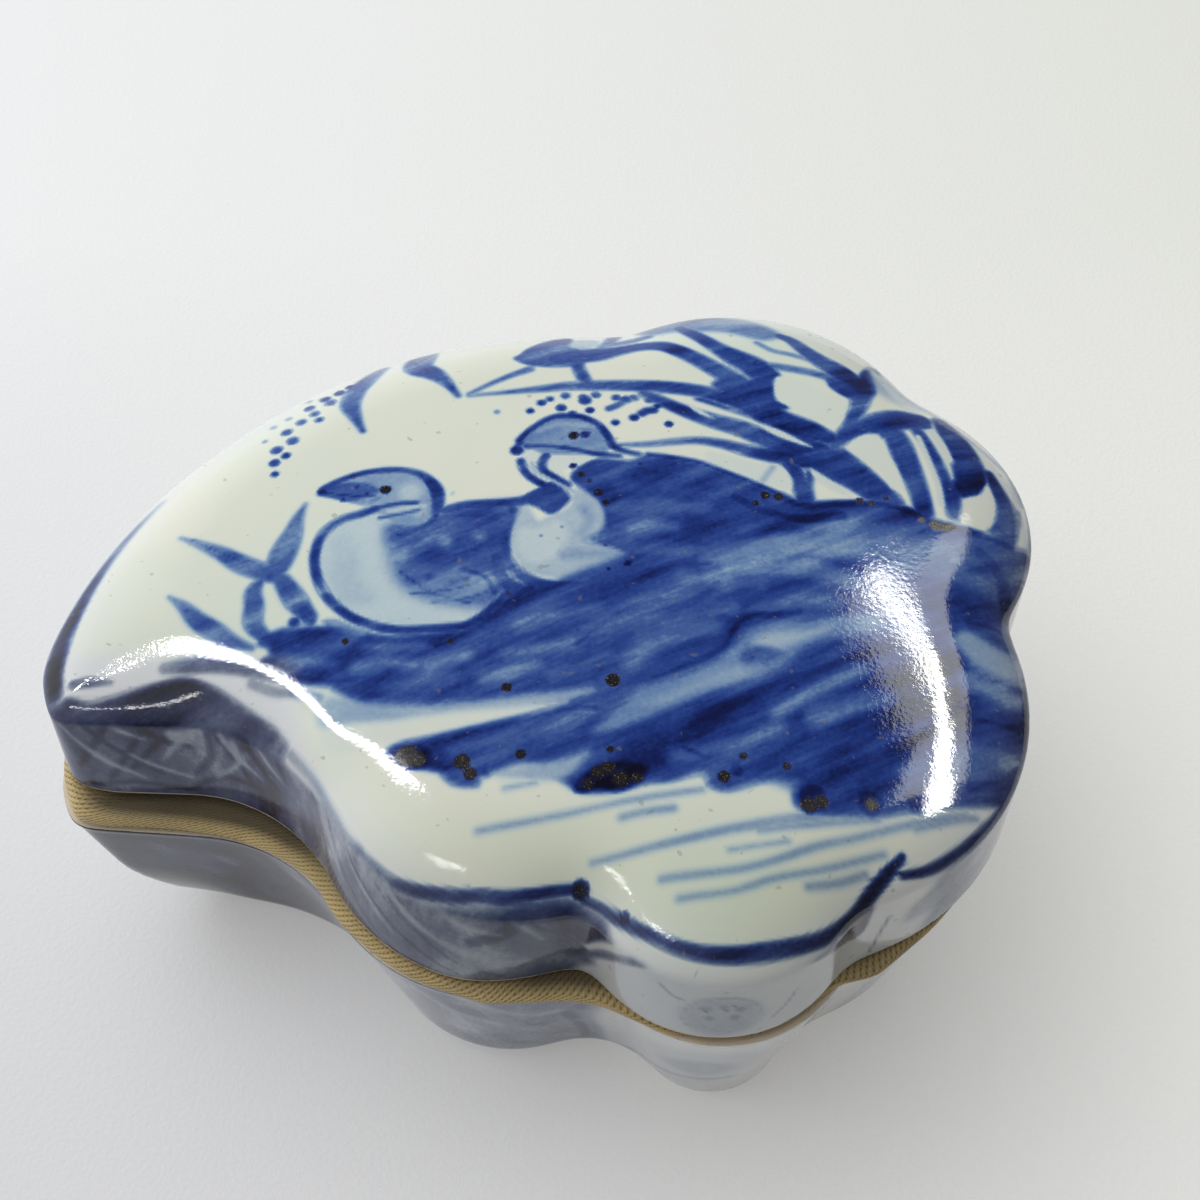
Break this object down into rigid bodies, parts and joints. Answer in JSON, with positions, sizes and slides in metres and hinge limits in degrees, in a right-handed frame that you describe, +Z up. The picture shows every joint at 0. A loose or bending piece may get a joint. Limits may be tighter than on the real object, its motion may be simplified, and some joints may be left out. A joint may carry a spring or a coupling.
{
  "type": "incense box",
  "caption": "Comma-shaped porcelain incense box with a scalloped wide end, a domed lid and a soft cotton strip between lid and base.",
  "frame": {"origin": "under the middle of the closed box, on the plane that its foot stands on", "axes": "+X from the tail's tip to the wide end, +Z up"},
  "size_m": [0.075, 0.0618, 0.0341],
  "materials": {
    "lid_glaze": "clear glossy glaze over cobalt brush painting on white porcelain",
    "base_glaze": "clear glossy glaze over grey-blue brushwork, bare unglazed foot",
    "cotton": "khaki twill-woven cotton, folded edge outwards"
  },
  "bodies": {
    "base": {"base": "base_glaze"},
    "strip": {"cotton_strip": "cotton"},
    "lid": {"lid": "lid_glaze"}
  },
  "joints": [
    {"name": "strip_lift", "type": "slide", "parent": "base", "child": "strip", "axis": [0, 0, 1], "range_m": [0, 0.03]},
    {"name": "lid_lift", "type": "slide", "parent": "strip", "child": "lid", "axis": [0, 0, 1], "range_m": [0, 0.05]}
  ]
}
